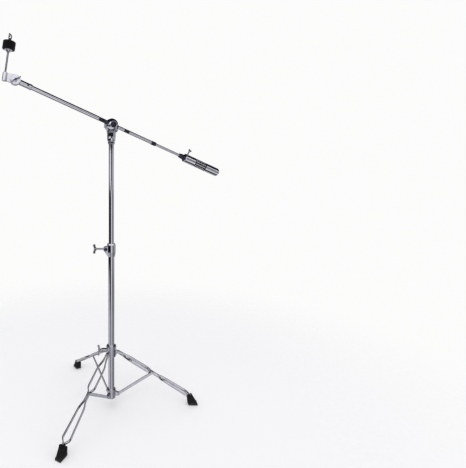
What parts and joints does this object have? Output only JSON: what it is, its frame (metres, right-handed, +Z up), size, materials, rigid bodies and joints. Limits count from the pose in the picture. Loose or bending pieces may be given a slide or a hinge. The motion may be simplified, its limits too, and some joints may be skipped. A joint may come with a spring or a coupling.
{
  "type": "cymbal boom stand",
  "caption": "Folding tripod stand with a telescopic mast and a counterweighted, tilting boom that holds a cymbal between felts over a drum kit.",
  "frame": {"origin": "on the mast's axis at floor level", "axes": "+Z up along the mast, +X outwards along leg a, +Y outwards between leg a and leg b's side"},
  "size_m": [0.783, 0.5462, 1.2729],
  "materials": {
    "chrome": "bright chrome plate, polished",
    "dark_steel": "black-oxide steel, machined",
    "rubber": "matte moulded rubber",
    "felt": "dense pressed felt",
    "nylon": "matte nylon",
    "black_plastic": "matte moulded nylon"
  },
  "bodies": {
    "base": {"base_tube": "chrome", "bottom_collar": "chrome", "bottom_plug": "black_plastic", "strut_pins": "chrome", "height_clamp": "chrome", "clamp_barrel_nut": "dark_steel"},
    "height_bolt": {"height_wing_bolt": "chrome"},
    "spider": {"spider": "chrome", "spider_pins": "chrome"},
    "spider_bolt": {"spider_wing_bolt": "chrome"},
    "strut_a": {"strut_a": "chrome"},
    "leg_a": {"leg_a_strip_left": "chrome", "leg_a_strip_right": "chrome", "leg_a_rivets": "chrome", "foot_a": "rubber"},
    "strut_b": {"strut_b": "chrome"},
    "leg_b": {"leg_b_strip_left": "chrome", "leg_b_strip_right": "chrome", "leg_b_rivets": "chrome", "foot_b": "rubber"},
    "strut_c": {"strut_c": "chrome"},
    "leg_c": {"leg_c_strip_left": "chrome", "leg_c_strip_right": "chrome", "leg_c_rivets": "chrome", "foot_c": "rubber"},
    "bush": {"mast_bush": "nylon"},
    "upper_mast": {"upper_tube": "chrome", "neck_ring": "chrome", "neck_ring_screw": "dark_steel", "tilter_base": "chrome", "tilter_washer": "chrome"},
    "tilter": {"tilter_head": "chrome", "eye_bolt": "dark_steel"},
    "tilter_nut": {"tilter_wing_nut": "chrome"},
    "sleeve": {"boom_sleeve": "dark_steel"},
    "boom": {"front_tube": "chrome", "boom_rod": "chrome", "mark_ring": "black_plastic", "rod_collar": "dark_steel", "thin_rod": "chrome", "cymbal_tilter_rear": "chrome", "cymbal_tilter_screw": "dark_steel", "cymbal_tilter_bolt": "dark_steel"},
    "weight": {"counterweight": "chrome", "weight_grip": "dark_steel", "weight_neck": "dark_steel"},
    "weight_screw": {"weight_wing_screw": "chrome"},
    "seat": {"cymbal_tilter_front": "chrome", "cymbal_post": "chrome", "cup_washer": "chrome", "post_sleeve": "black_plastic", "lower_felt": "felt", "upper_felt": "felt"},
    "seat_nut": {"cymbal_tilter_wing_nut": "chrome"},
    "cymbal_nut": {"cymbal_wing_nut": "chrome"}
  },
  "joints": [
    {"name": "spider_slide", "type": "slide", "parent": "base", "child": "spider", "axis": [0, 0, 1], "range_m": [0, 0.13703]},
    {"name": "strut_a_hinge", "type": "hinge", "parent": "base", "child": "strut_a", "pos_m": [0.025, 0, 0.038], "axis": [0, -1, 0], "range_deg": [0, 53.83]},
    {"name": "leg_a_hinge", "type": "hinge", "parent": "strut_a", "child": "leg_a", "pos_m": [0.148, 0, 0.113], "axis": [0, -1, 0], "range_deg": [-107.65, 0]},
    {"name": "strut_b_hinge", "type": "hinge", "parent": "base", "child": "strut_b", "pos_m": [-0.0125, 0.02165, 0.038], "axis": [0.866, 0.5, 0], "range_deg": [0, 53.83]},
    {"name": "leg_b_hinge", "type": "hinge", "parent": "strut_b", "child": "leg_b", "pos_m": [-0.074, 0.12817, 0.113], "axis": [0.866, 0.5, 0], "range_deg": [-107.65, 0]},
    {"name": "strut_c_hinge", "type": "hinge", "parent": "base", "child": "strut_c", "pos_m": [-0.0125, -0.02165, 0.038], "axis": [-0.866, 0.5, 0], "range_deg": [0, 53.83]},
    {"name": "leg_c_hinge", "type": "hinge", "parent": "strut_c", "child": "leg_c", "pos_m": [-0.074, -0.12817, 0.113], "axis": [-0.866, 0.5, 0], "range_deg": [-107.65, 0]},
    {"name": "spider_bolt_turn", "type": "hinge", "parent": "spider", "child": "spider_bolt", "pos_m": [-0.036, 0, 0.194], "axis": [-1, 0, 0], "continuous": true},
    {"name": "height_bolt_turn", "type": "hinge", "parent": "base", "child": "height_bolt", "pos_m": [-0.04, 0, 0.558], "axis": [-1, 0, 0], "continuous": true},
    {"name": "mast_swivel", "type": "hinge", "parent": "base", "child": "bush", "pos_m": [0, 0, 0.567], "axis": [0, 0, 1], "continuous": true},
    {"name": "mast_height", "type": "slide", "parent": "bush", "child": "upper_mast", "axis": [0, 0, 1], "range_m": [-0.345, 0.13]},
    {"name": "boom_tilt", "type": "hinge", "parent": "upper_mast", "child": "tilter", "pos_m": [0, 0, 1.0035], "axis": [0.3907, -0.9205, 0], "range_deg": [-20, 58]},
    {"name": "tilter_nut_turn", "type": "hinge", "parent": "tilter", "child": "tilter_nut", "pos_m": [-0.00782, 0.01841, 1.0035], "axis": [-0.3907, 0.9205, 0], "continuous": true},
    {"name": "boom_roll", "type": "hinge", "parent": "tilter", "child": "sleeve", "pos_m": [0.0043, -0.01013, 1.0035], "axis": [-0.8639, -0.3667, 0.3453], "continuous": true},
    {"name": "boom_slide", "type": "slide", "parent": "sleeve", "child": "boom", "axis": [-0.8639, -0.3667, 0.3453], "range_m": [0, 0.115]},
    {"name": "weight_slide", "type": "slide", "parent": "boom", "child": "weight", "axis": [-0.8639, -0.3667, 0.3453], "range_m": [-0.06, 0.105]},
    {"name": "weight_screw_turn", "type": "hinge", "parent": "weight", "child": "weight_screw", "pos_m": [0.28938, 0.11088, 0.88955], "axis": [0.4532, -0.2667, 0.8506], "continuous": true},
    {"name": "cymbal_tilt", "type": "hinge", "parent": "boom", "child": "seat", "pos_m": [-0.30843, -0.14287, 1.1285], "axis": [0.3907, -0.9205, 0], "range_deg": [-80, 80]},
    {"name": "seat_nut_turn", "type": "hinge", "parent": "seat", "child": "seat_nut", "pos_m": [-0.30452, -0.15207, 1.1285], "axis": [0.3907, -0.9205, 0], "continuous": true},
    {"name": "cymbal_nut_turn", "type": "hinge", "parent": "seat", "child": "cymbal_nut", "pos_m": [-0.32225, -0.15406, 1.25749], "axis": [0.1217, 0.0517, 0.9912], "continuous": true}
  ],
  "couplings": [
    {"joint": "strut_a_hinge", "follows": "spider_slide", "rad_per_m": 6.8305},
    {"joint": "leg_a_hinge", "follows": "spider_slide", "rad_per_m": -13.661},
    {"joint": "strut_b_hinge", "follows": "spider_slide", "rad_per_m": 6.8305},
    {"joint": "leg_b_hinge", "follows": "spider_slide", "rad_per_m": -13.661},
    {"joint": "strut_c_hinge", "follows": "spider_slide", "rad_per_m": 6.8305},
    {"joint": "leg_c_hinge", "follows": "spider_slide", "rad_per_m": -13.661}
  ]
}
